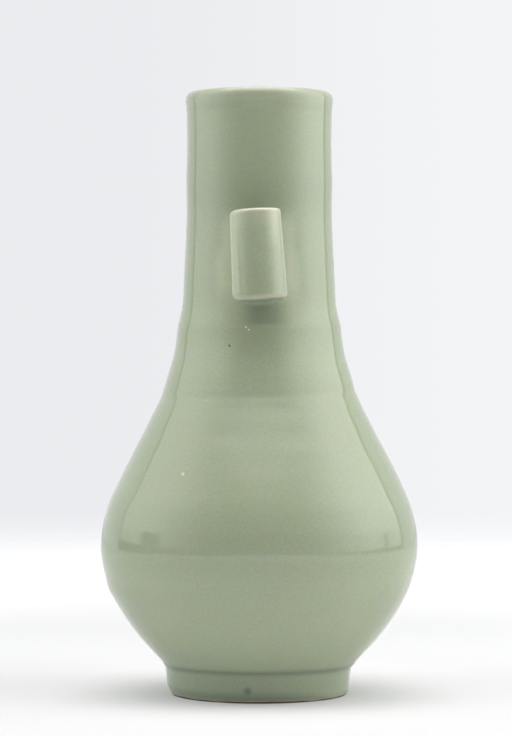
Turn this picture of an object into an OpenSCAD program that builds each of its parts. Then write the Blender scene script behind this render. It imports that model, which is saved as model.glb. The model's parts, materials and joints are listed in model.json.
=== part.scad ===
// Arrow vase in green-glazed porcelain: a pear-shaped body on a turned foot ring, a straight neck
// with a rolled lip, and two short tubular lugs luted to the neck. The body is thrown in sections
// that are luted together at bevelled seams. Millimetres, +Z up, origin at the centre of the foot
// where it meets the table. The front lug faces -Y.

/* [Vase] */
// Height from the table to the top of the lip
vase_h = 240; // [230:1:250]
// Largest diameter, over the glaze
belly_d = 126.6; // [120:0.2:134]
// Height of the largest diameter
belly_h = 59; // [55:1:63]
// Outside diameter of the neck at its narrowest, over the glaze
neck_d = 57.8; // [56:0.2:60]
// Outside diameter of the rolled lip, over the glaze
lip_d = 59; // [58:0.2:62]
// Bore of the neck, inside the glaze
mouth_d = 47; // [45:0.2:48]

/* [Foot] */
// Diameter of the glazed foot where it meets the belly
foot_d = 74.4; // [73:0.2:77]
// Outside diameter of the bare face that stands on the table
stand_d = 70; // [69:0.2:71]
// Height of the foot's side
foot_h = 11.4; // [10:0.1:12]
// Height at which the glaze stops above the table
bare_h = 0.9; // [0.6:0.1:1.6]
// Depth of the hollow under the vase
recess_h = 8; // [7:0.1:9]

/* [Walls] */
// Thickness of the clay at the foot
belly_wall = 5; // [4:0.1:6]
// Thickness of the clay where the neck begins
neck_wall = 4.4; // [4:0.1:5]
// Thickness of the clay floor at the centre
floor_t = 6.5; // [5:0.1:8]
// Thickness of the glaze
glaze_t = 0.7; // [0.5:0.05:0.8]

/* [Lugs] */
// Height of a lug's clay tube
lug_h = 33.6; // [28:0.2:36]
// Outside diameter of the clay tube at its lower end
lug_low_d = 20; // [18:0.2:20.4]
// Outside diameter of the clay tube at its upper end
lug_top_d = 18; // [17:0.2:19]
// Hole through a lug, inside the glaze
lug_bore_d = 10; // [8:0.2:11]
// Height of a lug's middle
lug_z = 174; // [172:1:178]
// Thickness of the slip between a lug and the neck
slip_t = 2; // [1.8:0.1:2.4]
// Lean of a lug's top towards the neck, in degrees
lug_rake = 0.4; // [0:0.2:2.6]
// Sideways lean of the front lug, in degrees
front_lean = 3.4; // [-4:0.1:4]
// Turn of the front lug around the neck, in degrees
front_turn = -1; // [-3:0.1:3]
// Sideways lean of the back lug, in degrees
back_lean = -1.4; // [-4:0.1:4]

/* [Hidden] */
$fn = 120;

belly_r = belly_d / 2;
neck_r = neck_d / 2;
foot_r = foot_d / 2;
stand_r = stand_d / 2;
// Glazed foot where its side ends and its bevel down to the standing face begins
foot_low_r = foot_r - 0.9;
bevel_h = 2.6;
// Clay of the bevel where the glaze stops, and the rounding of the glaze's lower edge
bare_r = stand_r + (foot_low_r - glaze_t - stand_r) * bare_h / bevel_h;
glaze_edge = 0.4;
// Radius of the clay in the neck's bore
throat_r = mouth_d / 2 + glaze_t;

// Where the straight neck begins, where the roll of the lip begins, and the lip's highest circle
neck_h = 0.7 * vase_h;
lip_h = vase_h - 3.2;
crest_r = lip_d / 2 - 2.6;

// Foot ring: its inner wall, its rounded inner edge, and where its bevelled joint begins
foot_in_low = stand_r - 5.5;
foot_in_top = stand_r - 6.2;
foot_edge = 0.8;
joint_r = stand_r - 4;
// The floor inside, and the height on the outline where the inside wall runs into it
floor_z = recess_h + floor_t;
heel_h = 0.06 * vase_h;
// Height where the glaze under the vase stops on the foot's inner wall
base_glaze_h = 3;

// Heights of the seams between thrown sections outside, from the foot's joint to below the lip,
// and inside, where each seam is seam_rise higher
seam_rise = 1.5;
neck_seam = 0.6125 * vase_h;
seams = [foot_h, 0.19 * vase_h, 0.498 * vase_h, neck_seam, lip_h - 2];
inner_seams = [heel_h, seams[1] + seam_rise, seams[2] + seam_rise, seams[3] + seam_rise, neck_h];
ring_gap = 3.8;

// Outline of the glazed vase as [height, radius]. The belly's lower stations are shares of the way
// from the foot to the widest circle, and its upper ones shares of the way from there to the neck.
function rise(share) = foot_h + share * (belly_h - foot_h);
function swell(share) = foot_r + share * (belly_r - foot_r);
function climb(share) = belly_h + share * (neck_h - belly_h);
function narrow(share) = neck_r + share * (belly_r - neck_r);
function up_neck(share) = neck_h + share * (vase_h - neck_h);
outline = [
  [foot_h, foot_r],
  [rise(0.08), swell(0.138)],
  [rise(0.24), swell(0.404)],
  [rise(0.44), swell(0.669)],
  [rise(0.69), swell(0.895)],
  [belly_h, belly_r],
  [climb(0.14), narrow(0.926)],
  [climb(0.28), narrow(0.727)],
  [climb(0.45), narrow(0.453)],
  [climb(0.56), narrow(0.287)],
  [climb(0.62), narrow(0.232)],
  [climb(0.68), narrow(0.173)],
  [climb(0.745), narrow(0.13)],
  [climb(0.81), narrow(0.105)],
  [climb(0.87), narrow(0.06)],
  [neck_h, narrow(0.035)],
  [up_neck(0.33), neck_r + 0.15],
  [up_neck(0.49), neck_r + 0.35],
  [up_neck(0.69), neck_r],
  [up_neck(0.86), neck_r + 0.15],
  [lip_h, lip_d / 2]
];

// Smooth curve through the outline's stations: radius at a height, and its change with height
function station(z, i = 0) = i >= len(outline) - 2 || z <= outline[i + 1].x ? i : station(z, i + 1);
function tangent(i) = let (
    below = outline[max(i - 1, 0)],
    above = outline[min(i + 1, len(outline) - 1)]
  ) (above.y - below.y) / (above.x - below.x);
function radius(z) = let (
    i = station(z),
    a = outline[i],
    b = outline[i + 1],
    gap = b.x - a.x,
    u = (z - a.x) / gap
  ) (2 * u^3 - 3 * u^2 + 1) * a.y + (u^3 - 2 * u^2 + u) * gap * tangent(i)
    + (3 * u^2 - 2 * u^3) * b.y + (u^3 - u^2) * gap * tangent(i + 1);
function slope(z) = (radius(z + 0.05) - radius(z - 0.05)) / 0.1;

// Point as [radius, height] at a depth under the outline, measured square to the surface
function under(z, depth) = let (s = slope(z), k = sqrt(1 + s * s))
  [radius(z) - depth / k, z + depth * s / k];

// Inside of the clay wall, or of the glaze on it when depth is the glaze's thickness. It follows
// the outline and becomes a plain cylinder in the straight neck.
function wall(z) = belly_wall + (neck_wall - belly_wall) * min(1, z / neck_seam);
function ease(t) = let (u = max(0, min(1, t))) u * u * (3 - 2 * u);
function inside(z, depth) = let (k = ease((z - neck_seam) / (neck_h - neck_seam)))
  under(z, glaze_t + wall(z) + depth) * (1 - k) + [throat_r - depth, z] * k;

// Heights of the rings from one mark to another, about ring_gap apart, with both marks included
function part_rings(low, high) = let (n = ceil((high - low) / ring_gap))
  [for (i = [1:n]) low + (high - low) * i / n];
function rings(marks, first, last) = concat(
  [marks[first]],
  [for (m = [first:last - 1]) each part_rings(marks[m], marks[m + 1])]
);
function outer_path(first, last, depth) = [for (z = rings(seams, first, last)) under(z, depth)];
function inner_path(first, last, depth) = [for (z = rings(inner_seams, first, last)) inside(z, depth)];
function backwards(list) = [for (i = [len(list) - 1:-1:0]) list[i]];
function rest(list) = [for (i = [1:len(list) - 1]) list[i]];

// Roll of the lip, from its outer side to its crest, and from the crest to the bore
function roll(side_r, depth, from, to) = [for (a = [from:15:to]) [
    crest_r + (abs(side_r - crest_r) - depth) * cos(a),
    lip_h + (vase_h - lip_h - depth) * sin(a)
  ]];
function lip_outer(depth) = roll(lip_d / 2, depth, 0, 90);
function lip_inner(depth) = roll(mouth_d / 2, depth, 90, 180);

// Floor inside the vase, from the centre to just short of the wall
function floor_path(depth) = let (heel = inside(heel_h, depth), low = floor_z + depth)
  [for (i = [0:5]) [heel.x * i / 6, low + (heel.y - low) * (i / 6)^5]];

module turned(points) {
  rotate_extrude() polygon(points);
}

// Thrown section of the wall between two seams
module wall_section(first) {
  turned(concat(
    outer_path(first, first + 1, glaze_t),
    backwards(inner_path(first, first + 1, 0))
  ));
}

module foot_ring() {
  color("#b9b2a6")
    turned([
      [stand_r, 0],
      [bare_r, bare_h],
      [foot_low_r - glaze_t, bevel_h],
      under(foot_h, glaze_t),
      [joint_r, recess_h],
      [foot_in_top, recess_h],
      [foot_in_low, foot_edge],
      [foot_in_low + foot_edge, 0]
    ]);
}

module lower_belly() {
  color("#d9d5ca")
    turned(concat(
      [[0, recess_h], [joint_r, recess_h]],
      outer_path(0, 1, glaze_t),
      backwards(inner_path(0, 1, 0)),
      backwards(floor_path(0))
    ));
}

module upper_belly() {
  color("#d5d1c5") wall_section(1);
}

module neck_flare() {
  color("#d9d5ca") wall_section(2);
}

module neck_tube() {
  color("#d5d1c5")
    turned(concat(
      outer_path(3, 4, glaze_t),
      lip_outer(glaze_t),
      rest(lip_inner(glaze_t)),
      backwards(inner_path(3, 4, 0))
    ));
}

// Clay of the neck filled to its axis, which shapes whatever is luted against it
module neck_core() {
  turned(concat([[0, neck_seam]], outer_path(3, 4, glaze_t), [[0, lip_h - 2]]));
}

// Places a lug's own frame, with its axis on +Z and the neck at +Y
lug_mid_r = (lug_low_d + lug_top_d) / 4;
lug_out = under(lug_z, glaze_t).x + slip_t + lug_mid_r;
module at_lug(turn, lean) {
  rotate([0, 0, turn])
    translate([0, -lug_out, lug_z])
      rotate([-lug_rake, -lean, 0])
        children();
}

// Outer side of a lug's half-section, with rounded ends, grown by a coat
lug_edge = 2.2;
function lug_side(coat) = let (
    half = lug_h / 2 + coat,
    edge = lug_edge + coat,
    low_r = lug_low_d / 2 + coat - edge,
    top_r = lug_top_d / 2 + coat - edge
  ) concat(
    [for (a = [-90:30:0]) [low_r + edge * cos(a), edge - half + edge * sin(a)]],
    [for (a = [0:30:90]) [top_r + edge * cos(a), half - edge + edge * sin(a)]]
  );
// Half-section of a lug with its bore, whose ends are bevelled, and of a lug filled to its axis
bore_edge = 0.8;
function lug_section(coat, bore_r) = let (half = lug_h / 2 + coat) concat(
    [[bore_r, bore_edge - half], [bore_r + bore_edge, -half]],
    lug_side(coat),
    [[bore_r + bore_edge, half], [bore_r, half - bore_edge]]
  );
function lug_plug(coat) = let (half = lug_h / 2 + coat) concat([[0, -half]], lug_side(coat), [[0, half]]);
clay_bore_r = lug_bore_d / 2 + glaze_t;

module lug() {
  turned(lug_section(0, clay_bore_r));
}

// Wedge of slip between a lug and the neck, grown by a coat: narrow at the lug, wide at the neck
slip_near_w = 5.4;
slip_far_w = 6.6;
slip_near_y = 4;
slip_far_y = 14;
slip_h = lug_h - 4;
module slip_block(coat) {
  linear_extrude(slip_h + 2 * coat, center = true)
    polygon([
      [-slip_near_w - coat, slip_near_y], [slip_near_w + coat, slip_near_y],
      [slip_far_w + coat, slip_far_y], [-slip_far_w - coat, slip_far_y]
    ]);
}

module slip(turn, lean) {
  difference() {
    at_lug(turn, lean)
      difference() {
        slip_block(0);
        turned(lug_plug(0));
      }
    neck_core();
  }
}

// Glaze over a lug, through its bore and over its slip, down to the neck's clay
module glaze_on_lug(turn, lean) {
  difference() {
    at_lug(turn, lean)
      union() {
        rotate_extrude()
          difference() {
            polygon(lug_section(glaze_t, lug_bore_d / 2));
            polygon(lug_section(0, clay_bore_r));
          }
        difference() {
          slip_block(glaze_t);
          turned(lug_plug(glaze_t));
        }
      }
    neck_core();
    slip(turn, lean);
  }
}

module lug_front() {
  color("#cfcabb") at_lug(front_turn, front_lean) lug();
}

module lug_back() {
  color("#cfcabb") at_lug(180, back_lean) lug();
}

module slip_front() {
  color("#c4bdae") slip(front_turn, front_lean);
}

module slip_back() {
  color("#c4bdae") slip(180, back_lean);
}

module glaze_outside() {
  color("#a4b291")
    difference() {
      turned(concat(
        [[foot_low_r - glaze_t, bevel_h], [bare_r, bare_h]],
        [[bare_r + glaze_edge, bare_h + glaze_edge / 2], [foot_low_r, bevel_h]],
        outer_path(0, 4, 0),
        lip_outer(0),
        backwards(lip_outer(glaze_t)),
        backwards(outer_path(0, 4, glaze_t))
      ));
      at_lug(front_turn, front_lean) slip_block(glaze_t);
      at_lug(180, back_lean) slip_block(glaze_t);
    }
}

module glaze_inside() {
  color("#aab79a")
    turned(concat(
      floor_path(0),
      inner_path(0, 4, 0),
      backwards(lip_inner(glaze_t)),
      lip_inner(0),
      backwards(inner_path(0, 4, glaze_t)),
      backwards(floor_path(glaze_t))
    ));
}

module glaze_base() {
  edge_r = foot_in_low + (foot_in_top - foot_in_low) * (base_glaze_h - foot_edge) / (recess_h - foot_edge);
  color("#9fae8d")
    turned([
      [0, recess_h - glaze_t],
      [foot_in_top - glaze_t, recess_h - glaze_t],
      [edge_r - glaze_t, base_glaze_h],
      [edge_r, base_glaze_h],
      [foot_in_top, recess_h],
      [0, recess_h]
    ]);
}

module glaze_lug_front() {
  color("#b3bd9f") glaze_on_lug(front_turn, front_lean);
}

module glaze_lug_back() {
  color("#b3bd9f") glaze_on_lug(180, back_lean);
}

foot_ring();
lower_belly();
upper_belly();
neck_flare();
neck_tube();
lug_front();
lug_back();
slip_front();
slip_back();
glaze_outside();
glaze_inside();
glaze_base();
glaze_lug_front();
glaze_lug_back();
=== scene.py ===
"""Looks of the arrow vase: its glazes, clay and light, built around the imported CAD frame.

Shapes are worked out in millimetres and become metres where their meshes are made. A turn is an
angle round the vase, in radians: 0 faces -Y, where the camera stands, and pi / 2 faces +X. The
materials of the table and the tent measure in metres, and in degrees from -Y.
"""
import json
from math import hypot, pi, radians

import bmesh
import bpy
import numpy as np
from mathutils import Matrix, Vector


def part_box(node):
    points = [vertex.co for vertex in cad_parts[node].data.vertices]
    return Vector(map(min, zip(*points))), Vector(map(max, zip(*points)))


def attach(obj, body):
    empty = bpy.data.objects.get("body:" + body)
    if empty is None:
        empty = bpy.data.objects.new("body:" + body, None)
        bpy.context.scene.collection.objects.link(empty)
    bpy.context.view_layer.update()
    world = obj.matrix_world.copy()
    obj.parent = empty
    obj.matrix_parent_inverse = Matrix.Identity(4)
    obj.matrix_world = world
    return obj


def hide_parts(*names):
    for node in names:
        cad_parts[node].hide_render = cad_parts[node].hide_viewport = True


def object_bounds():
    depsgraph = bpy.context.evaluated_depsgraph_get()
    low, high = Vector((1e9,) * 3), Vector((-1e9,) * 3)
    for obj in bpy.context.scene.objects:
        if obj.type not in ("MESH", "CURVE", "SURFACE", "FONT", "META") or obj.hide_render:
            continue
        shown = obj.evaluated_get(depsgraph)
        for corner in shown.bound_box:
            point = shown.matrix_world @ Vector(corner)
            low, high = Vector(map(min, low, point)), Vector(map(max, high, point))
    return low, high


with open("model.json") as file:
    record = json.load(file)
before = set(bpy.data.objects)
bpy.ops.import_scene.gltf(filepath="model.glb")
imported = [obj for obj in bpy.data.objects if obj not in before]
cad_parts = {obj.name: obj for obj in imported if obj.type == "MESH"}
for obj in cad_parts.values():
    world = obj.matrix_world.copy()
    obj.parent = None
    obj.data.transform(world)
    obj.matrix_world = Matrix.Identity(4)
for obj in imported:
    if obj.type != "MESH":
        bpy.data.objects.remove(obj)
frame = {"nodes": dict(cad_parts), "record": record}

cad_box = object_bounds()
MM = 0.001
BODY = "root"


# ---------------------------------------------------------------------------- small mathematics

def ease(value, start, end):
    """0 at start and 1 at end, smooth between them."""
    u = np.clip((value - start) / (end - start), 0, 1)
    return u * u * (3 - 2 * u)


def hump(value, middle, width):
    """A smooth bump of height 1 at middle."""
    return np.exp(-((value - middle) / width) ** 2)


def rounded_max(a, b, blend):
    """The larger of a and b, rounded where they meet, over a width of about blend."""
    h = np.maximum(blend - np.abs(a - b), 0) / blend
    return np.maximum(a, b) + h * h * blend / 4


def rounded_min(a, b, blend):
    """The smaller of a and b, rounded in the same way."""
    return -rounded_max(-a, -b, blend)


def smooth_curve(heights, radii):
    """Function that runs smoothly through the radii at the heights, and straight on past both ends."""
    tangents = np.gradient(radii, heights)

    def at(z):
        i = np.clip(np.searchsorted(heights, z) - 1, 0, len(heights) - 2)
        gap = heights[i + 1] - heights[i]
        u = np.clip((z - heights[i]) / gap, 0, 1)
        inside = (
            (2 * u**3 - 3 * u**2 + 1) * radii[i]
            + (u**3 - 2 * u**2 + u) * gap * tangents[i]
            + (3 * u**2 - 2 * u**3) * radii[i + 1]
            + (u**3 - u**2) * gap * tangents[i + 1]
        )
        below = np.minimum(z - heights[0], 0) * tangents[0]
        above = np.maximum(z - heights[-1], 0) * tangents[-1]
        return inside + (below + above)

    return at


# ---------------------------------------------------------------- sizes taken from the CAD frame

def rings(node, outward):
    """Heights and radii of a turned CAD node's rings, on its outer or inner side, from low to high."""
    mesh = frame["nodes"][node].data
    fewest_corners = 60
    found = {}
    for face in mesh.polygons:
        for corner in face.vertices:
            x, y, z = mesh.vertices[corner].co / MM
            if (face.normal.x * x + face.normal.y * y > 0) == outward:
                found.setdefault(round(z, 2), []).append(hypot(x, y))
    heights = sorted(z for z in found if len(found[z]) > fewest_corners)
    return np.array(heights), np.array([max(found[z]) for z in heights])


skin_heights, skin_radii = rings("glaze_outside", True)
bore_heights, bore_radii = rings("glaze_inside", False)
vase_h = cad_box[1].z / MM
glaze_t = vase_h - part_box("neck_tube")[1].z / MM

# Where the foot's side meets the belly: the sharpest inward corner of the lowest rows
lowest_rows = 8
slopes = np.diff(skin_radii) / np.diff(skin_heights)
foot_row = 1 + int(np.argmax(np.diff(slopes)[:lowest_rows]))
foot_h = float(skin_heights[foot_row])
# The roll of the lip: its widest circle and its crest
upper = skin_heights > 0.9 * vase_h
lip_r = float(skin_radii[upper].max())
lip_h = float(skin_heights[upper][np.argmax(skin_radii[upper])])
crest_r = float(skin_radii[-1])
# The glaze's lower edge, which tapers out on the clay over the rows below the bevel's row
bevel_row = 2
bare_h = float(skin_heights[0])
bare_r = float(skin_radii[0])
bevel_h = float(skin_heights[bevel_row])

POOL_BLEND = 1.2
foot_side = smooth_curve(skin_heights[bevel_row:foot_row + 1], skin_radii[bevel_row:foot_row + 1])
belly_side = smooth_curve(skin_heights[foot_row:], skin_radii[foot_row:])


def skin_radius(z):
    """Radius of the glazed outline, where pooled glaze rounds the corner over the foot."""
    cornered = rounded_max(foot_side(z), belly_side(z), POOL_BLEND)
    return np.where(z < foot_h + 4 * POOL_BLEND, cornered, belly_side(z))


def foot_corner(z, turn):
    """How far the foot draws in towards its lower edge, over a taller curve on the left."""
    curve_h = 3.3 - 1.3 * np.sin(turn)
    left_over = 0.3
    steepest = 0.98
    low = np.clip(1 - (z - bare_h) / curve_h, 0, 1)
    deepest = foot_side(bare_h) - bare_r - left_over
    return deepest * (1 - np.sqrt(1 - steepest * low ** 2)) / (1 - np.sqrt(1 - steepest))


# ------------------------------------------------------------------------ relief of the outside

# Heights of what the hand left on the outside
LOW_BULGE = 42
HIGH_BULGE = 90
SHOULDER_SEAM = 119.5
NECK_RIDGE = 147.0
LIP_GROOVE = 231.4

FOOT_SHIFT = 0.45
SEAM_TILT = 0.029
RING_RELIEF = 0.025
OVAL = 0.05


def relief(z, turn):
    """How far the glazed outside stands proud of the CAD outline, as thrown and luted by hand."""
    right = np.sin(turn)
    on_right = np.clip(right, 0, 1)
    on_left = np.clip(-right, 0, 1)
    seam = z - SHOULDER_SEAM - SEAM_TILT * skin_radius(z) * right
    return (
        # The foot is shifted to the left, and glaze fills the corner over its sides
        -FOOT_SHIFT * right * ease(z, 13, 9) * ease(z, 0.5, 4.5)
        + 0.4 * hump(z, foot_h + 0.6, 1.2) * right ** 2
        - 0.3 * hump(z, foot_h + 1.2, 1.2) * (1 - right ** 2)
        # The body is a little uneven and oval, with faint rings from throwing
        + 0.5 * hump(z, LOW_BULGE, 3.5) * on_left ** 2
        + 0.3 * hump(z, HIGH_BULGE, 9) * on_right ** 2
        + RING_RELIEF * np.sin(z / 1.7 + 0.6 * right) * ease(z, 14, 30) * ease(z, 232, 222)
        + OVAL * np.cos(2 * turn + 0.8)
        # The seam under the neck is a hollow with a rise over it
        - 0.12 * hump(seam, 0, 1.6) + 0.08 * hump(seam, 3, 2.2)
        + 0.06 * hump(z, NECK_RIDGE - 1.5, 1.5)
        - 0.05 * hump(z, LIP_GROOVE, 1.2)
    )


# ------------------------------------------------------------------------------- mesh building

TURNS = 192
turns = np.linspace(0, 2 * pi, TURNS, endpoint=False)

SHARP_ANGLE = radians(50)
SAME_POINT = 0.0005 * MM
NO_LENGTH = 0.0002 * MM


def put(name, points, faces, material, marks=None):
    """Makes a smooth-shaded piece from points in millimetres, with marks on them for its material."""
    mesh = bpy.data.meshes.new(name)
    mesh.from_pydata((np.asarray(points) * MM).tolist(), [], faces)
    for mark, values in (marks or {}).items():
        values = np.ravel(values).astype(np.float32)
        mesh.attributes.new(mark, "FLOAT", "POINT").data.foreach_set("value", values)
    shape = bmesh.new()
    shape.from_mesh(mesh)
    bmesh.ops.remove_doubles(shape, verts=shape.verts, dist=SAME_POINT)
    bmesh.ops.dissolve_degenerate(shape, edges=shape.edges, dist=NO_LENGTH)
    bmesh.ops.recalc_face_normals(shape, faces=shape.faces)
    shape.to_mesh(mesh)
    shape.free()
    mesh.polygons.foreach_set("use_smooth", [True] * len(mesh.polygons))
    mesh.set_sharp_from_angle(angle=SHARP_ANGLE)
    mesh.materials.append(material)
    piece = bpy.data.objects.new(name, mesh)
    bpy.context.scene.collection.objects.link(piece)
    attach(piece, BODY)
    return piece


def ring_points(radius, z):
    """Points round the vase for arrays of radius and height, one row each."""
    return np.stack([radius * np.sin(turns), -radius * np.cos(turns), z + 0 * turns], -1)


def lathe_faces(rows, holes=None):
    """Faces of a closed turned solid. The first half of its rows is its outer side, and the second half
    is its inner side, in reverse. A hole is a cell of the outer side that is cut right through."""
    half = rows // 2
    cut = np.zeros((rows, TURNS), bool)
    if holes is not None:
        cut[:half - 1] = holes
        cut[half:rows - 1] = holes[::-1]
    faces = []
    for row in range(rows):
        this, above = row * TURNS, (row + 1) % rows * TURNS
        for turn in range(TURNS):
            if not cut[row, turn]:
                after = (turn + 1) % TURNS
                faces.append((this + turn, this + after, above + after, above + turn))
    if holes is None:
        return faces

    def outer(row, turn):
        return row * TURNS + turn % TURNS

    def inner(row, turn):
        return (rows - 1 - row) * TURNS + turn % TURNS

    for row, turn in np.argwhere(holes):
        after = turn + 1
        edges = [
            (holes[row, turn - 1], (row, turn), (row + 1, turn)),
            (holes[row, after % TURNS], (row, after), (row + 1, after)),
            (holes[row - 1, turn], (row, turn), (row, after)),
            (holes[row + 1, turn], (row + 1, turn), (row + 1, after)),
        ]
        for open_beyond, p, q in edges:
            if not open_beyond:
                faces.append((outer(*p), outer(*q), inner(*q), inner(*p)))
    return faces


# ----------------------------------------------------------------------------------------- lugs

class Lug:
    """A lug's shape in its own frame: its hole along +Z, the neck towards +Y, -X to the left."""

    # The bed of slip: its height, half its width near the tube and near the neck, and where it ends
    WEDGE_H = 29.6
    NEAR_Y, FAR_Y, END_Y = 4.0, 14.0, 20
    NEAR_W, FAR_W = 5.4, 6.6
    FILLET = 2.8
    # How far the glaze runs out on the neck past the fillet
    REACH = 1.3
    # Slope of the tube's cut ends
    SKEW = 0.015

    def __init__(self, glaze_node, hole):
        mount = next(m for m in frame["record"]["mounts"] if m["name"] == hole)
        self.middle = np.array(mount["pos_m"]) / MM
        self.bore_r = mount["dims"]["r_mm"]
        up = Vector(mount["axis"]).normalized()
        across = Vector((-self.middle[0], -self.middle[1], 0)).cross(up).normalized()
        self.axes = np.array([across, up.cross(across), up])
        vertices = frame["nodes"][glaze_node].data.vertices
        corners = self.local(np.array([vertex.co for vertex in vertices]) / MM)
        self.half_h = corners[:, 2].max()
        front = corners[corners[:, 1] < 0]
        reach = np.hypot(front[:, 0], front[:, 1])
        self.top_r = reach[front[:, 2] > self.half_h / 2].max()
        self.low_r = reach[front[:, 2] < -self.half_h / 2].max()

    def local(self, points):
        return (points - self.middle) @ self.axes.T

    def placed(self, points):
        return points @ self.axes + self.middle

    def tube(self, p, coat, edge):
        """Distance to the tube without its hole, coat in from the glaze's surface, and to its rim."""
        x, y, z = np.moveaxis(p, -1, 0)
        radius = (self.low_r + self.top_r) / 2 + z / (2 * self.half_h) * (self.top_r - self.low_r)
        side = np.hypot(x, y) - radius + coat
        end = np.abs(z + self.SKEW * x * np.sign(z)) - self.half_h + coat
        return rounded_max(side, end, edge), np.hypot(side, end)

    def wedge(self, p, coat):
        """Distance to the bed of slip, with a coat over it."""
        x, y, z = np.moveaxis(p, -1, 0)
        share = (y - self.NEAR_Y) / (self.FAR_Y - self.NEAR_Y)
        width = self.NEAR_W + (self.FAR_W - self.NEAR_W) * share + coat
        side = np.abs(x) - width
        end = np.abs(z) - self.WEDGE_H / 2 - coat
        return np.max([side, end, self.NEAR_Y - y, y - self.END_Y], axis=0)

    def neck(self, p):
        """Distance to the glazed neck."""
        x, y, z = np.moveaxis(self.placed(p), -1, 0)
        return np.hypot(x, y) - skin_radius(z) - relief(z, np.arctan2(x, -y))

    def outside(self, p):
        """Distance to the glazed lug and its slip, without the hole."""
        x, _, z = np.moveaxis(p, -1, 0)
        # The tube's rims are worn rounder on the left and at the lower end
        worn = 1.4 + 1.4 * ease(-x, 1, 9) + 0.6 * ease(-z, -5, 12)
        tube, _ = self.tube(p, 0, worn)
        return rounded_min(tube, self.wedge(p, glaze_t), self.FILLET)

    def glaze(self, p):
        """Distance to the glaze that covers the lug, its slip and its hole, and laps onto the neck."""
        sunk, hole_round, clay_round = 0.1, 1.6, 2.5
        outside = self.outside(p)
        neck = self.neck(p)
        around = np.hypot(p[..., 0], p[..., 1])
        coated = rounded_min(outside, neck + sunk, self.FILLET)
        coated = rounded_max(coated, self.bore_r - around, hole_round)
        coated = np.maximum(coated, outside - self.FILLET - self.REACH)
        plug, _ = self.tube(p, glaze_t, clay_round)
        clay = np.min([
            np.maximum(plug, self.bore_r + glaze_t - around),
            np.maximum(self.wedge(p, 0), -plug),
            neck + glaze_t,
        ], axis=0)
        return np.maximum(coated, -clay)

    def marks(self, p):
        """Where the glaze is thin, on worn rims, where it is pooled, and how deep its colour is, with a
        painted highlight down the tube's sides, painted light in the creases and painted highlight bands."""
        x, y, z = np.moveaxis(p, -1, 0)
        _, rim = self.tube(p, 0, 1)
        off_neck = self.neck(p)
        outer_wall = np.hypot(x, y) > 8
        round_tube = np.degrees(np.arctan2(np.abs(x), -y))
        top = (1 - ease(rim, 0.4, 1.5)) * ease(z, -5, 5)
        bottom = 0.45 * (1 - ease(rim, 0.5, 2.6)) * ease(-z, -5, 5)
        # Painted highlight down both sides of the tube
        side_highlight = 0.5 * hump(round_tube, 84, 12) * ease(np.abs(off_neck), 2, 5) * outer_wall
        faded = 0.22 * ease(z, self.half_h - 11, self.half_h - 1)
        thin_and_painted_light = np.max([top, bottom, side_highlight, faded], axis=0) * ease(y, 3, 0)
        # Painted light in the creases against the neck, lifting their shade
        crease = 0.16 * (1 - ease(off_neck, 1, 5)) * ease(np.abs(x), 5, 8)
        thin_and_painted_light = np.maximum(thin_and_painted_light, crease * ease(np.abs(z), self.half_h, self.half_h - 5))
        pool_and_painted_shade = 0.6 * (1 - ease(off_neck, 0.3, 2.5)) * ease(-z, self.half_h - 4, self.half_h - 1)
        deep_and_painted_shading = 0.28 + 0.08 * ease(z, 8, -14)
        # Painted highlight bands: less deep on the left side and in a band right of the middle
        deep_and_painted_shading = deep_and_painted_shading - 0.25 * ease(-x, 5, 9) - 0.2 * hump(x, 7, 2) * ease(z, 0, 8)
        return {"thin_and_painted_light": thin_and_painted_light, "pool_and_painted_shade": pool_and_painted_shade, "deep_and_painted_shading": deep_and_painted_shading}


def skin_of(distance, low, high, cell):
    """Closed mesh on the zero surface of a distance function. It has one point in each grid cell that
    the surface crosses, moved onto the surface, and one face across each grid edge that it crosses."""
    rounds = 8
    least_slope = 0.2
    counts = np.ceil((high - low) / cell).astype(int) + 1
    axes = [low[i] + cell * np.arange(counts[i]) for i in range(3)]
    grid = np.stack(np.meshgrid(*axes, indexing="ij"), -1)
    full = distance(grid) < 0
    nx, ny, nz = np.array(full.shape) - 1
    corners = [
        full[i:nx + i, j:ny + j, k:nz + k]
        for i in (0, 1) for j in (0, 1) for k in (0, 1)
    ]
    crossed = np.any(corners, axis=0) & ~np.all(corners, axis=0)
    number = np.full(crossed.shape, -1)
    number[crossed] = np.arange(crossed.sum())
    points = grid[:-1, :-1, :-1][crossed] + cell / 2
    steps = np.eye(3) * cell / 20
    for _ in range(rounds):
        here = distance(points)
        slope = np.stack([distance(points + s) - distance(points - s) for s in steps], -1)
        slope = slope / (cell / 10)
        move = here[:, None] * slope / np.maximum((slope ** 2).sum(-1), least_slope)[:, None]
        points = points - np.clip(move, -cell / 2, cell / 2)
    faces = []
    for axis in range(3):
        near = np.take(full, range(full.shape[axis] - 1), axis)
        far = np.take(full, range(1, full.shape[axis]), axis)
        u, v = (axis + 1) % 3, (axis + 2) % 3
        at = np.argwhere(near != far)
        at = at[(at[:, u] > 0) & (at[:, u] < counts[u] - 1)]
        at = at[(at[:, v] > 0) & (at[:, v] < counts[v] - 1)]
        one = np.eye(3, dtype=int)
        ring = [at - du * one[u] - dv * one[v] for du, dv in ((1, 1), (0, 1), (0, 0), (1, 0))]
        quads = np.stack([number[tuple(r.T)] for r in ring], -1)
        flip = far[tuple(at.T)]
        quads[flip] = quads[flip][:, ::-1]
        faces += quads.tolist()
    return points, faces


# ------------------------------------------------------------------------------------ materials

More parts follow.
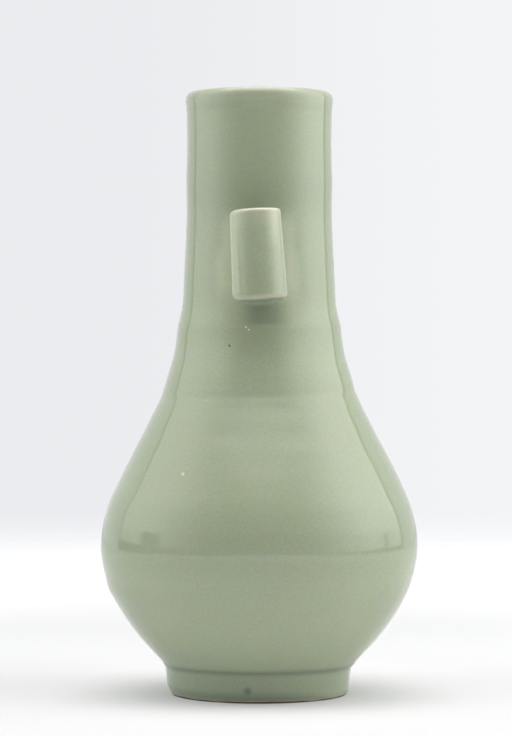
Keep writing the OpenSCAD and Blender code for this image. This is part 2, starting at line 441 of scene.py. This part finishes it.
class Tree:
    """Short way to add and join shader nodes."""

    def __init__(self, tree):
        self.tree = tree
        tree.nodes.clear()

    def add(self, kind, settings=None, **inputs):
        """Adds a node. Inputs are named as the node names them, with _ for a space."""
        node = self.tree.nodes.new(kind)
        for key, value in (settings or {}).items():
            setattr(node, key, value)
        for key, value in inputs.items():
            self.feed(node.inputs[key.replace("_", " ")], value)
        return node

    def feed(self, socket, value):
        if isinstance(value, bpy.types.NodeSocket):
            self.tree.links.new(value, socket)
        else:
            socket.default_value = value

    def math(self, operation, a, b=0.0):
        node = self.add("ShaderNodeMath", {"operation": operation})
        self.feed(node.inputs[0], a)
        self.feed(node.inputs[1], b)
        return node.outputs[0]

    def product(self, first, *others):
        for other in others:
            first = self.math("MULTIPLY", first, other)
        return first

    def remainder(self, value, share):
        """What is left of 1 when value has taken its share."""
        return self.math("SUBTRACT", 1.0, self.math("MULTIPLY", value, share))

    def ease(self, value, start, end, low=0.0, high=1.0):
        """low up to start, high from end, smooth between them."""
        node = self.add("ShaderNodeMapRange", {"interpolation_type": "SMOOTHSTEP"}, Value=value)
        for socket, number in zip(node.inputs[1:5], (start, end, low, high)):
            socket.default_value = number
        return node.outputs[0]

    def mix(self, share, a, b, blend="MIX"):
        """Colour a with a share of colour b."""
        settings = {"data_type": "RGBA", "blend_type": blend, "clamp_factor": True}
        node = self.add("ShaderNodeMix", settings)
        for socket, value in ((node.inputs[0], share), (node.inputs[6], a), (node.inputs[7], b)):
            self.feed(socket, value)
        return node.outputs[2]

    def mark(self, name):
        """Value that a piece's mesh holds under this name."""
        return self.add("ShaderNodeAttribute", {"attribute_name": name}).outputs["Fac"]

    def degrees_from_front(self, x, y):
        """Angle from -Y, from 0 to 180 on either side."""
        turn = self.math("ARCTAN2", x, self.math("MULTIPLY", y, -1))
        return self.math("MULTIPLY", self.math("ABSOLUTE", turn), 180 / pi)

    def join(self, kind, first, second, **inputs):
        """Mixes or adds two shaders, which are a node's last two inputs."""
        node = self.add(kind, **inputs)
        for socket, shader in zip(list(node.inputs)[-2:], (first, second)):
            self.feed(socket, shader.outputs[0])
        return node

    def finish(self, kind, shader):
        """Joins a shader to the output of the material or world."""
        self.feed(self.add(kind).inputs[0], shader.outputs[0])

    def noise(self, where, size_mm, detail=2.0, roughness=0.5):
        """Noise whose patches are about size_mm across, from 0 to 1 with 0.5 in the middle."""
        settings = {"Scale": 1 / (size_mm * MM), "Detail": detail, "Roughness": roughness}
        return self.add("ShaderNodeTexNoise", Vector=where, **settings).outputs[0]


def new_material(name):
    material = bpy.data.materials.new(name)
    material.use_nodes = True
    return material, Tree(material.node_tree)


GLAZE_GREEN = (0.386, 0.445, 0.299, 1)
GLAZE_OLIVE = (0.390, 0.441, 0.286, 1)
GLAZE_BLUISH = (0.373, 0.441, 0.309, 1)
GLAZE_THIN_AND_PAINTED_LIGHT = (0.58, 0.54, 0.42, 1)
GLAZE_POOL_AND_PAINTED_SHADE = (0.170, 0.215, 0.155, 1)
GLAZE_DEEP_AND_PAINTED_SHADING = (0.145, 0.170, 0.107, 1)
CLAY_ROUGHNESS = 0.85
CLAY_GRIT = (0.12, 0.09, 0.07, 1)
CLAY_SCORCH_AND_CONTACT_SHADOW = (0.10, 0.07, 0.05, 1)

IRON_SPOT = (0.05, 0.05, 0.04, 1)
BLUE_SPOT = (0.17, 0.20, 0.165, 1)
WHITE_SPOT = (0.80, 0.80, 0.72, 1)
PALE_SPOT = (0.54, 0.60, 0.46, 1)
# Specks in the glaze: turn in degrees, height, size and colour
SPECKS = [
    (-7.2, 4.9, 2.4, BLUE_SPOT),
    (-20.2, 138.9, 0.7, IRON_SPOT),
    (-33.0, 89.6, 1.0, PALE_SPOT),
    (-31.0, 117.6, 0.45, PALE_SPOT),
    (-9.1, 146.1, 0.5, WHITE_SPOT),
    (-7.2, 145.1, 0.5, WHITE_SPOT),
]


def glaze_material(name):
    """Semi-opaque green glaze over pale clay: cream where it is thin, blue-green where it pools,
    with painted shade and painted light laid in through the same marks.
    """
    material, t = new_material(name)
    where = t.add("ShaderNodeTexCoord").outputs["Object"]
    clouds = t.ease(t.noise(where, 45, 3), 0.35, 0.65)
    colour = t.mix(clouds, GLAZE_GREEN, GLAZE_OLIVE)
    colour = t.mix(t.ease(t.noise(where, 7, 4, 0.6), 0.42, 0.7), colour, GLAZE_BLUISH)
    grain = t.ease(t.noise(where, 0.8, 3, 0.7), 0.3, 0.7, 0.93, 1.06)
    grain = t.add("ShaderNodeCombineColor", Red=grain, Green=grain, Blue=grain).outputs[0]
    colour = t.mix(1.0, colour, grain, "MULTIPLY")
    # Besides the glaze's own tones, these marks lay in painted shade and painted light
    for mark, tone in (("deep_and_painted_shading", GLAZE_DEEP_AND_PAINTED_SHADING), ("pool_and_painted_shade", GLAZE_POOL_AND_PAINTED_SHADE), ("thin_and_painted_light", GLAZE_THIN_AND_PAINTED_LIGHT)):
        colour = t.mix(t.mark(mark), colour, tone)
    for degrees, height, size, speck in SPECKS:
        turn = radians(degrees)
        radius = skin_radius(height) + relief(height, turn)
        away = t.add("ShaderNodeVectorMath", {"operation": "DISTANCE"})
        t.feed(away.inputs[0], where)
        middle = Vector((radius * np.sin(turn), -radius * np.cos(turn), height))
        t.feed(away.inputs[1], middle * MM)
        share = t.ease(away.outputs["Value"], size * MM, 0.2 * size * MM, 0.0, 0.9)
        colour = t.mix(share, colour, speck)
    rough = t.ease(t.noise(where, 3, 3), 0.3, 0.7, 0.06, 0.10)
    pits = t.math("MULTIPLY", t.noise(where, 0.5, 2), 0.25)
    peel = t.math("ADD", t.noise(where, 2.5, 2), pits)
    bump = t.add("ShaderNodeBump", Strength=0.25, Distance=0.02 * MM, Height=peel)
    looks = {"Base_Color": colour, "Roughness": rough, "Normal": bump.outputs[0], "IOR": 1.5}
    t.finish("ShaderNodeOutputMaterial", t.add("ShaderNodeBsdfPrincipled", **looks))
    return material


def clay_material(name, colour, darker):
    """Fired clay with grit in it, scorched, with painted contact shadow, where its mesh says so."""
    material, t = new_material(name)
    where = t.add("ShaderNodeTexCoord").outputs["Object"]
    body = t.mix(t.ease(t.noise(where, 4, 4, 0.6), 0.35, 0.65), colour, darker)
    grit = t.ease(t.noise(where, 0.35, 2), 0.62, 0.72)
    body = t.mix(grit, body, CLAY_GRIT)
    body = t.mix(t.mark("scorch_and_contact_shadow"), body, CLAY_SCORCH_AND_CONTACT_SHADOW)
    tooth = t.noise(where, 0.6, 4, 0.7)
    bump = t.add("ShaderNodeBump", Strength=0.6, Distance=0.08 * MM, Height=tooth)
    looks = {"Base_Color": body, "Roughness": CLAY_ROUGHNESS, "Normal": bump.outputs[0]}
    t.finish("ShaderNodeOutputMaterial", t.add("ShaderNodeBsdfPrincipled", **looks))
    return material


glaze = glaze_material("celadon_glaze")
inner_glaze = glaze_material("celadon_glaze_inside")
clay = clay_material("fired_clay", (0.55, 0.50, 0.43, 1), (0.47, 0.43, 0.37, 1))
slip = clay_material("fired_slip", (0.50, 0.46, 0.39, 1), (0.42, 0.38, 0.33, 1))
bare_clay = clay_material("bare_foot_clay", (0.45, 0.41, 0.36, 1), (0.36, 0.31, 0.26, 1))


# --------------------------------------------------------------------------------------- pieces

front_lug = Lug("glaze_lug_front", "lug_front_hole")
back_lug = Lug("glaze_lug_back", "lug_back_hole")


def spaced_heights(low, high, features):
    """Heights from low to high, closer together near the features."""
    widest, closest = 1.5, 0.4
    heights = [low]
    while heights[-1] < high - 0.5:
        near = max(hump(heights[-1], feature, 5) for feature in features)
        heights.append(heights[-1] + widest - (widest - closest) * near)
    return np.array(heights[:-1] + [high])


def shell(name, material, outer, inner, marks, holes=None):
    """Closed turned solid between two skins of points, whose marks are given on the outer one."""
    points = np.concatenate([outer, inner[::-1]])
    both = {mark: np.concatenate([values, values[::-1]]) for mark, values in marks.items()}
    return put(name, points.reshape(-1, 3), lathe_faces(len(points), holes), material, both)


# How deep the outside glaze's colour is at some heights, between which it changes evenly
# The shares also hold painted shading, set height by height to bring each band to the brightness wanted
DEEP_AND_SHADING_HEIGHTS = [0, 20, 30, 48, 66, 100, 130, 147, 170, 198, 225, 233, 237]
DEEP_AND_SHADING_SHARES = [0.16, 0.03, 0.01, 0.05, 0.36, 0.37, 0.32, 0.35, 0.35, 0.34, 0.20, 0.20, 0.20]


def outside_marks(z):
    """Thin, pooled and deep glaze outside, with painted shade and light, at each height and turn."""
    right = np.sin(turns)

    lip = 0.1 * ease(z, 233, 236) + 0.25 * ease(z, vase_h - 0.9, vase_h)
    edge = 0.5 * ease(z, bare_h + 0.7, bare_h)
    thin_and_painted_light = lip + edge + 0 * turns

    corner = 0.5 * hump(z, foot_h + 0.6, 1.1) + 0.25 * ease(z, foot_h + 1.6, foot_h + 0.6)
    low = 0.7 * ease(z, 8, 1.5) * (1 - (0.6 + 0.4 * right) * right ** 2)
    # Above 175 mm the neck is darkened by painted shade; the corner and low band on the foot are pooled
    # glaze
    pool_and_painted_shade = np.maximum(corner, low) + 0.2 * ease(z, 175, 215)

    # Painted shade darkens the sides of the lower belly
    sides = 0.2 * hump(z, 33, 18) * ease(np.abs(right), 0.6, 0.9)
    deep_and_painted_shading = np.interp(z, DEEP_AND_SHADING_HEIGHTS, DEEP_AND_SHADING_SHARES) + sides

    for lug in (front_lug, back_lug):
        lug_turn = np.arctan2(lug.middle[0], -lug.middle[1])
        across = (np.mod(turns - lug_turn + pi, 2 * pi) - pi) * skin_radius(z)
        aside = np.abs(across)
        lug_z = lug.middle[2]
        lug_low = lug_z - lug.half_h

        # Painted shadow under the lug, down to the ridge, set a little to its right
        under = ease(z, NECK_RIDGE - 0.8, NECK_RIDGE + 1.2) * ease(z, lug_low, lug_low - 2.5)
        pool_and_painted_shade = np.maximum(pool_and_painted_shade, 0.5 * under * ease(np.abs(across - 3), 12, 3))

        # Painted light on both sides of the lug: paler, less deep in colour, and lighter again lower down
        # beside it
        level = ease(np.abs(z - lug_z), lug.half_h + 3, lug.half_h - 8)
        thin_and_painted_light = np.maximum(thin_and_painted_light, 0.14 * level * ease(aside, 17, 12))
        reach = 17 + 2.5 * ease(lug_z - z, -6, 4)
        deep_and_painted_shading = deep_and_painted_shading * (1 - 0.8 * level * ease(aside, reach, reach - 5))
        deep_and_painted_shading = deep_and_painted_shading * (1 - 0.45 * hump(z, NECK_RIDGE - 13, 15) * hump(aside, 14.5, 6))

        # A painted shadow that slants away from the lug, with a painted light halo before it and one on
        # the left
        slanted_shadow = 15.5 - 0.27 * (z - lug_z)
        deep_and_painted_shading = deep_and_painted_shading + 0.08 * hump(z, lug_z - 2, 16) * hump(across, slanted_shadow, 2.5)
        right_halo = 0.35 * hump(z, lug_z - 6, 9) * hump(across, 12.5, 1.8)
        left_halo = 0.12 * hump(z, lug_z - 6, 12) * hump(across, -15, 3)
        thin_and_painted_light = np.maximum(thin_and_painted_light, np.maximum(right_halo, left_halo))
    return {"thin_and_painted_light": thin_and_painted_light, "pool_and_painted_shade": pool_and_painted_shade, "deep_and_painted_shading": deep_and_painted_shading}


def outside_glaze():
    """Glaze over the whole outside, from its edge on the foot to the crest of the lip."""
    features = [bare_h, foot_h, LOW_BULGE, SHOULDER_SEAM, NECK_RIDGE, LIP_GROOVE, lip_h]
    heights = spaced_heights(bare_h, lip_h, features)
    roll_steps = 13
    roll = np.radians(np.linspace(0, 90, roll_steps))[1:]

    # The skin up the side and over the lip, and the clay under it
    side_r = skin_radius(heights)
    slope = np.gradient(side_r, heights)
    flat = np.sqrt(1 + slope ** 2)
    radius = np.concatenate([side_r, crest_r + (lip_r - crest_r) * np.cos(roll)])
    z = np.concatenate([heights, lip_h + (vase_h - lip_h) * np.sin(roll)])
    bevel = np.clip((heights - bare_h) / (bevel_h - bare_h), 0, 1)
    bevel_r = bare_r + (foot_side(bevel_h) - glaze_t - bare_r) * bevel
    clay_r = np.concatenate([
        np.where(bevel < 1, bevel_r, side_r - glaze_t / flat),
        crest_r + (lip_r - crest_r - glaze_t) * np.cos(roll),
    ])
    clay_z = np.concatenate([
        heights + glaze_t * slope / flat,
        lip_h + (vase_h - lip_h - glaze_t) * np.sin(roll),
    ])
    clay_z[0] = bare_h

    z, radius = z[:, None], radius[:, None]
    proud = relief(z, turns) * ease(radius, crest_r, lip_r - 1) - foot_corner(z, turns)
    wander = 0.16 * np.sin(3 * turns + 1) + 0.07 * np.sin(11 * turns)
    wander = wander * ease(z, bare_h + 1.5, bare_h)
    outer = ring_points(radius + proud, z + wander)
    inner = ring_points(clay_r[:, None] + 0 * turns, clay_z[:, None] + wander)

    # Cut away where the lugs' own glaze laps over it
    lap = 0.6
    middle = (outer[:-1] + np.roll(outer[1:], -1, 1)) / 2
    holes = np.zeros(middle.shape[:2], bool)
    for lug in (front_lug, back_lug):
        local = lug.local(middle)
        holes |= (lug.outside(local) < lug.FILLET * lap) & (local[..., 1] > 0)
    marks = outside_marks(z)
    piece = shell("outside_glaze", glaze, outer, inner, marks, holes)
    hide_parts("glaze_outside")


# Box round a lug, in its own frame, and the size of the grid cells in it
LUG_LOW = np.array([-15.0, -12.0, -21.0])
LUG_HIGH = np.array([15.0, 17.0, 21.0])
LUG_CELL = 0.42


def lug_glaze(name, lug, node):
    """Glaze over a lug and its slip, through its hole and out onto the neck."""
    points, faces = skin_of(lug.glaze, LUG_LOW, LUG_HIGH, LUG_CELL)
    piece = put(name, lug.placed(points), faces, glaze, lug.marks(points))
    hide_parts(node)


def lengths_along(path):
    """Length of a path of [radius, height] up to each of its points."""
    return np.cumsum(np.append(0, np.hypot(*np.diff(path, axis=0).T)))


def straight_between(path, steps):
    """Points at steps of length along a path, on the straight lines between its points."""
    path = np.asarray(path, float)
    lengths = lengths_along(path)
    return np.stack([np.interp(steps, lengths, path[:, i]) for i in (0, 1)], -1)


def along_path(points, spacing):
    """Points about spacing apart on a smooth curve through points of [radius, height]."""
    points = np.asarray(points, float)
    lengths = lengths_along(points)
    steps = np.linspace(0, lengths[-1], int(lengths[-1] / spacing) + 2)
    return np.stack([smooth_curve(lengths, points[:, i])(steps) for i in (0, 1)], -1)


def beside(path, distance):
    """Points at a distance to the right of a path of [radius, height]."""
    along = np.gradient(path, axis=0)
    right = np.stack([along[:, 1], -along[:, 0]], -1)
    return path + distance * right / np.hypot(*along.T)[:, None]


RING_PITCH = 5.5
RING_DEPTH = 0.1


def inside_glaze():
    """Glaze from the middle of the floor, up the bore with the rings that throwing left, to the crest."""
    bore = np.stack([np.append(0, bore_radii), np.append(bore_heights[0], bore_heights)], -1)
    path = along_path(bore, 0.9)
    clay_path = beside(path, glaze_t)
    clay_path[0] = 0, path[0, 1] - glaze_t
    clay_path[-1] = crest_r, vase_h - glaze_t
    r, z = path[:, None, 0], path[:, None, 1]
    thrown = RING_DEPTH * np.sin(2 * pi * z / RING_PITCH + turns)
    thrown = thrown * ease(z, lip_h - 2, lip_h - 20) * ease(r, 3, 14)
    outer = ring_points(r + thrown, z + 0 * turns)
    inner = ring_points(clay_path[:, None, 0] + 0 * turns, clay_path[:, None, 1])
    marks = {
        "thin_and_painted_light": ease(z, lip_h + 0.8, vase_h - 0.3) * ease(r, crest_r - 3, crest_r) + 0 * turns,
        "pool_and_painted_shade": 0.6 * ease(z, 30, 17) + 0 * turns,
    }
    piece = shell("inside_glaze", inner_glaze, outer, inner, marks)
    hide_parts("glaze_inside")


base_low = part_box("glaze_base")[0].z / MM
base_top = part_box("glaze_base")[1].z / MM - glaze_t
_, recess_radii = rings("glaze_base", False)


def base_glaze():
    """Glaze in the hollow under the vase: turned flat, pooled in the corner, wiped at its edge."""
    fillet = 2.2
    wall_r = recess_radii.min()
    edge_r = recess_radii[0]
    corner = [
        [wall_r - fillet + fillet * np.sin(a), base_top - fillet + fillet * np.cos(a)]
        for a in np.radians([0, 22, 45, 68, 90])
    ]
    lower = [[wall_r + 0.2, base_low + 1.2], [edge_r - 0.25, base_low + 0.3], [edge_r, base_low]]
    path = along_path([[0, base_top], [wall_r / 2, base_top]] + corner + lower, 0.5)
    clay_top = base_top + glaze_t
    clay_side = [[0, clay_top], [wall_r + glaze_t, clay_top], [edge_r, base_low]]
    share = np.linspace(0, 1, len(path))
    back = straight_between(clay_side, share * lengths_along(clay_side)[-1])
    back_r, back_z = back[:, None, 0], back[:, None, 1]
    r, z = path[:, None, 0], path[:, None, 1]
    turned_lines = 0.05 * np.sin(r / 0.9 + turns) * ease(r, wall_r - 1, wall_r - 5) * ease(r, 1, 4)
    edge = ease(z, base_low + 1.5, base_low)
    wiped = (0.25 * np.sin(4 * turns + 0.7) + 0.1 * np.sin(13 * turns)) * edge
    outer = ring_points(r + 0 * turns, z + turned_lines + wiped)
    inner = ring_points(back_r + 0 * turns, back_z + wiped * (back_z < base_top))
    marks = {
        "thin_and_painted_light": 0.7 * edge + 0 * turns,
        "pool_and_painted_shade": 0.5 * hump(r, wall_r - 1, 2.5) + 0 * turns,
    }
    piece = shell("base_glaze", inner_glaze, outer, inner, marks)
    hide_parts("glaze_base")


def turned_foot():
    """Foot ring as trimmed on the wheel: worn edges, fine grooves inside and on the standing face."""
    wear = 0.3
    spacing = 0.35
    # The flat top of the ring, under the belly's floor
    shoulder_w = 2.2
    out_z, out_r = rings("foot_ring", True)
    in_z, in_r = rings("foot_ring", False)
    wall = (in_z > 0.1) & (in_r < in_r[in_z > 0.1].min() + 1)
    wall_r, wall_z = in_r[wall], in_z[wall]
    edge_r = out_r[0]
    top = base_top + glaze_t

    # From the hollow's top down its wall, under the standing face and up the outside
    seen = [[wall_r[-1], top]]
    seen += [[r, z] for r, z in zip(wall_r[::-1], wall_z[::-1])]
    seen += [[wall_r[0] + 0.75, 0.05], [wall_r[0] + 1.2, 0], [edge_r - wear, 0], [edge_r, wear]]
    seen += [[r, z] for r, z in zip(out_r[1:], out_z[1:])]
    lengths = lengths_along(seen)
    steps = np.unique(np.concatenate([lengths, np.arange(0, lengths[-1], spacing)]))
    path = straight_between(seen, steps)
    hidden = [[wall_r[-1], top], [wall_r[-1] + shoulder_w, top], [out_r[-1], out_z[-1]]]
    back = straight_between(hidden, np.linspace(0, lengths_along(hidden)[-1], len(path)))

    r, z = path[:, None, 0], path[:, None, 1]
    on_face = ease(z, 0.3, 0) * ease(r, edge_r - 0.4, edge_r - 0.9)
    on_wall = ease(z, 0.6, 1.5) * (r < edge_r - 2)
    groove = 0.05 * (1 + np.sin(r * 7 + turns) * np.sin(r * 2.6 + 2))
    outer = ring_points(r + 0.05 * np.sin(z * 5 + turns) * on_wall, z + groove * on_face)
    inner = ring_points(back[:, None, 0] + 0 * turns, back[:, None, 1])
    # Darkest at the bottom of the outer edge: scorched clay with painted contact shadow
    scorch_and_shadow_h = 0.7 + 0.15 * np.sin(5 * turns + 1) + 0.1 * np.sin(17 * turns)
    scorch_and_contact_shadow = ease(z, scorch_and_shadow_h, scorch_and_shadow_h - 0.35) * (r > edge_r - 1)
    scorch_and_contact_shadow = scorch_and_contact_shadow + 0.6 * hump(z, base_low, 0.8) * on_wall
    marks = {"scorch_and_contact_shadow": np.minimum(scorch_and_contact_shadow, 1)}
    piece = shell("turned_foot_ring", bare_clay, outer, inner, marks)
    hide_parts("foot_ring")


outside_glaze()
lug_glaze("lug_glaze_front", front_lug, "glaze_lug_front")
lug_glaze("lug_glaze_back", back_lug, "glaze_lug_back")
inside_glaze()
base_glaze()
turned_foot()

# The CAD nodes under the glaze stay as they are, with clay or slip on them
for cad_name, material in [
    ("lower_belly", clay), ("upper_belly", clay), ("neck_flare", clay), ("neck_tube", clay),
    ("lug_front", clay), ("lug_back", clay), ("slip_front", slip), ("slip_back", slip),
]:
    node = frame["nodes"][cad_name]
    node.data.materials.clear()
    node.data.materials.append(material)


# -------------------------------------------------------------------- camera, light and surroundings

def camera():
    """A long lens in front of the vase, level with the collar under its neck and tipped down a little."""
    place = Vector((-1.3, -1133, 137))
    tipped_down = 0.354
    data = bpy.data.cameras.new("camera")
    data.sensor_width = 36
    data.lens = 138.6
    view = bpy.data.objects.new("camera", data)
    view.location = place * MM
    view.rotation_euler = (radians(90 - tipped_down), 0, 0)
    bpy.context.scene.collection.objects.link(view)
    bpy.context.scene.camera = view


def stage_mesh(name, points, faces, material):
    """Something that only lights the vase or shows behind it, and doesn't leave with it."""
    mesh = bpy.data.meshes.new(name)
    mesh.from_pydata((np.asarray(points) * MM).tolist(), [], faces)
    mesh.materials.append(material)
    item = bpy.data.objects.new(name, mesh)
    bpy.context.scene.collection.objects.link(item)
    return item


def disc(radius, height):
    """Points and the one face of a flat round plate."""
    sides = 96
    around = np.linspace(0, 2 * pi, sides, endpoint=False)
    points = [(radius * np.cos(a), radius * np.sin(a), height) for a in around]
    return points, [list(range(sides))]


FLOOR_R = 3000
TABLE = 0.52
TENT_R = 700
TENT_H = 1500
TENT_ENDS = -117.5, 121.0
TOP_LIGHT = 3.8
RIGHT_LIGHT = 2.7
LEFT_LIGHT = 1.8
DAYLIGHT = (0.975, 0.985, 1.03, 1)
BACKDROP_LEFT = (0.83, 0.838, 0.862, 1)
BACKDROP_RIGHT = (0.895, 0.904, 0.922, 1)


def floor():
    """A round pale table top with a glow of its own, as it passes light on from all round it. To the
    camera it fades out into the backdrop and glows all round. To light and reflections it is cut off
    at both sides, and glows less behind the vase."""
    material, t = new_material("pale_table")
    where = t.add("ShaderNodeTexCoord").outputs["Object"]
    x, y, _ = t.add("ShaderNodeSeparateXYZ", Vector=where).outputs
    away = t.add("ShaderNodeVectorMath", {"operation": "LENGTH"})
    t.feed(away.inputs[0], where)
    away = away.outputs["Value"]
    seen = t.add("ShaderNodeLightPath").outputs["Is Camera Ray"]
    unseen = t.math("SUBTRACT", 1.0, seen)

    sideways = t.math("ABSOLUTE", x)
    faded = t.product(t.ease(away, 0.35, 1.35), seen)
    cut_off = t.product(t.ease(sideways, 0.9, 1.0), unseen)
    fade = t.math("ADD", faded, cut_off)

    near_glow = t.ease(away, 0.04, 0.15, 0.16, 0.05)
    not_behind = t.math("MAXIMUM", seen, t.ease(y, -0.3, 0.1, 1.0, 0.3))
    far_glow = t.product(not_behind, t.ease(away, 0.25, 0.65, 0.0, 0.38))
    glow = t.add("ShaderNodeEmission", Strength=t.math("ADD", near_glow, far_glow))
    cloth = t.add("ShaderNodeBsdfDiffuse", Color=(TABLE, TABLE, 0.99 * TABLE, 1))
    surface = t.join("ShaderNodeAddShader", cloth, glow)
    see_through = t.add("ShaderNodeBsdfTransparent")
    both = t.join("ShaderNodeMixShader", surface, see_through, Fac=fade)
    t.finish("ShaderNodeOutputMaterial", both)
    stage_mesh("floor", *disc(FLOOR_R, 0), material)


def tent():
    """Cloth light tent round the vase, open at the back: a bright panel on each side, brightest
    beside the vase, and a bright top. Both panels end above the table. A post darkens the foot of
    the right one and a gap that of the left one. The camera looks through it all."""
    material, t = new_material("tent_cloth")
    where = t.add("ShaderNodeTexCoord").outputs["Object"]
    x, y, z = t.add("ShaderNodeSeparateXYZ", Vector=where).outputs
    away = t.degrees_from_front(x, y)
    on_right = t.ease(x, -0.01, 0.01)
    on_left = t.math("SUBTRACT", 1.0, on_right)

    post = t.product(t.ease(away, 97, 98.5), t.ease(away, 104, 102.5), t.ease(z, 0.17, 0.15))
    right = t.product(
        on_right,
        t.ease(away, 22, 92, 0.0, RIGHT_LIGHT),
        t.ease(away, 90, 121, 1.0, 0.7),
        t.ease(z, 0.040, 0.050),
        t.ease(z, 0.03, 0.28, 0.55, 1.0),
        t.remainder(post, 0.6),
    )
    gap = t.product(t.ease(away, 73, 75), t.ease(away, 92, 90), t.ease(z, 0.205, 0.185))
    left = t.product(
        on_left,
        t.ease(away, 22, 92, 0.0, LEFT_LIGHT),
        t.ease(away, 96, 117, 1.0, 0.75),
        t.ease(z, 0.078, 0.086),
        t.ease(z, 0.03, 0.25, 0.65, 1.0),
        t.remainder(gap, 0.9),
    )
    strength = t.product(t.math("ADD", right, left), t.ease(z, 0.7, 1.5, 1.0, 0.8))
    light = t.add("ShaderNodeEmission", Strength=strength)
    see_through = t.add("ShaderNodeBsdfTransparent")
    t.finish("ShaderNodeOutputMaterial", t.join("ShaderNodeAddShader", light, see_through))

    columns, rows = 72, 13
    angles = np.radians(np.linspace(*TENT_ENDS, columns))
    heights = np.linspace(1, TENT_H, rows)
    points = [(TENT_R * np.sin(a), -TENT_R * np.cos(a), h) for h in heights for a in angles]
    corners = [r * columns + c for r in range(rows - 1) for c in range(columns - 1)]
    faces = [(i, i + 1, i + columns + 1, i + columns) for i in corners]
    stage_mesh("tent", points, faces, material).visible_camera = False

    material, t = new_material("tent_top")
    t.finish("ShaderNodeOutputMaterial", t.add("ShaderNodeEmission", Strength=TOP_LIGHT))
    stage_mesh("tent_top", *disc(TENT_R, TENT_H), material).visible_camera = False


def surroundings():
    """What lies beyond the tent. The camera sees a pale backdrop all round. The vase is lit by a pale
    back between the panels of the tent, and by a front that is dim up to a lamp's height. It is
    nearly dark behind the panels."""
    world = bpy.data.worlds.new("backdrop")
    world.use_nodes = True
    bpy.context.scene.world = world
    t = Tree(world.node_tree)
    direction = t.add("ShaderNodeTexCoord").outputs["Generated"]
    x, y, z = t.add("ShaderNodeSeparateXYZ", Vector=direction).outputs
    away = t.degrees_from_front(x, y)
    behind = t.math("SUBTRACT", away, t.ease(x, -0.1, 0.1, 0.0, 4.7))
    back = t.product(
        t.ease(behind, 122.6, 124.0),
        t.ease(z, 0.0, 0.3, 0.86, 0.76),
        t.ease(x, -0.5, 0.5, 1.06, 0.92),
    )
    front = t.product(
        t.ease(z, 0.72, 0.79, 0.12, 1.5),
        t.ease(away, 40, 80, 1.0, 2.5),
        t.ease(away, 88, 95, 1.0, 0.1),
    )
    light = t.math("ADD", back, front)
    lit = t.add("ShaderNodeBackground", Color=DAYLIGHT, Strength=light)
    backdrop = t.mix(t.ease(x, -0.06, 0.09), BACKDROP_LEFT, BACKDROP_RIGHT)
    shown = t.add("ShaderNodeBackground", Color=backdrop)
    seen = t.add("ShaderNodeLightPath").outputs["Is Camera Ray"]
    t.finish("ShaderNodeOutputWorld", t.join("ShaderNodeMixShader", lit, shown, Fac=seen))


camera()
floor()
tent()
surroundings()
bpy.context.scene.view_settings.view_transform = "Standard"
